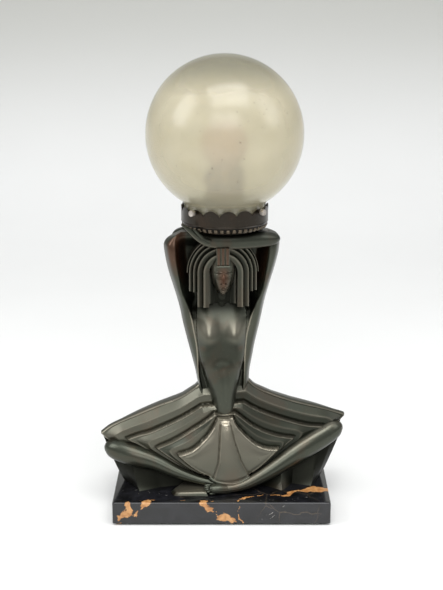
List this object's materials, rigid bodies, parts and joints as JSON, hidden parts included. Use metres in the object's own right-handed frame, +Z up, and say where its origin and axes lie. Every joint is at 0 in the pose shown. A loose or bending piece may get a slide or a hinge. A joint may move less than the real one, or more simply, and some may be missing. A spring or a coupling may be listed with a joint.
{
  "type": "figural table lamp",
  "caption": "Kneeling figure in stepped, fanned drapery on a marble plinth, raised crossed forearms carrying a scalloped gallery and a frosted glass globe.",
  "frame": {"origin": "middle of the underside of the felt pad", "axes": "+Z up, -Y towards the viewer of the front, +X to that viewer's right"},
  "size_m": [0.2462, 0.15, 0.4468],
  "materials": {
    "marble": "polished black marble with gold veins",
    "felt": "wool felt",
    "bush_plastic": "moulded",
    "bronze_patina": "dark green brown patina, rubbed edges",
    "pipe_brass": "plain drawn tube",
    "zinc_steel": "zinc plated",
    "gallery_bronze": "dark bronzed brass",
    "screw_nickel": "nickel plated",
    "frosted_glass": "etched, translucent",
    "holder_brass": "aged brass",
    "porcelain": "glazed",
    "black_glass": "glossy",
    "bulb_opal": "opal"
  },
  "bodies": {
    "lamp_body": {"marble_plinth": "marble", "felt_pad": "felt", "cord_bush": "bush_plastic", "skirt_casting": "bronze_patina", "torso_casting": "bronze_patina", "front_forearm": "bronze_patina", "rear_forearm": "bronze_patina", "lamp_pipe": "pipe_brass", "pipe_washer": "zinc_steel", "pipe_spring_washer": "zinc_steel", "pipe_nut": "pipe_brass", "fixing_studs": "zinc_steel", "stud_washers": "zinc_steel", "stud_nuts": "zinc_steel", "gallery_collar": "gallery_bronze", "gallery_floor": "gallery_bronze", "gallery_band": "gallery_bronze", "gallery_nut": "pipe_brass", "lampholder_cap": "holder_brass", "lampholder_shell": "holder_brass", "shade_ring": "holder_brass", "lampholder_insulator": "porcelain", "lampholder_sleeve": "holder_brass", "lampholder_contact": "holder_brass"},
    "globe": {"glass_globe": "frosted_glass", "globe_neck": "frosted_glass"},
    "bulb": {"bulb_glass": "bulb_opal", "bulb_cap": "holder_brass", "bulb_insulator": "black_glass", "bulb_tip": "holder_brass"},
    "gallery_screw_1": {"gallery_screw_1": "screw_nickel"},
    "gallery_screw_2": {"gallery_screw_2": "screw_nickel"},
    "gallery_screw_3": {"gallery_screw_3": "screw_nickel"},
    "gallery_screw_4": {"gallery_screw_4": "screw_nickel"}
  },
  "joints": [
    {"name": "globe_lift", "type": "slide", "parent": "lamp_body", "child": "globe", "axis": [0, 0, 1], "range_m": [0, 0.2]},
    {"name": "bulb_lift", "type": "slide", "parent": "lamp_body", "child": "bulb", "axis": [0, 0, 1], "range_m": [0, 0.03]},
    {"name": "gallery_screw_1_travel", "type": "slide", "parent": "lamp_body", "child": "gallery_screw_1", "axis": [0.6494, 0.7604, 0], "range_m": [0, 0.005]},
    {"name": "gallery_screw_2_travel", "type": "slide", "parent": "lamp_body", "child": "gallery_screw_2", "axis": [-0.7604, 0.6494, 0], "range_m": [0, 0.005]},
    {"name": "gallery_screw_3_travel", "type": "slide", "parent": "lamp_body", "child": "gallery_screw_3", "axis": [-0.6494, -0.7604, 0], "range_m": [0, 0.005]},
    {"name": "gallery_screw_4_travel", "type": "slide", "parent": "lamp_body", "child": "gallery_screw_4", "axis": [0.7604, -0.6494, 0], "range_m": [0, 0.005]}
  ]
}
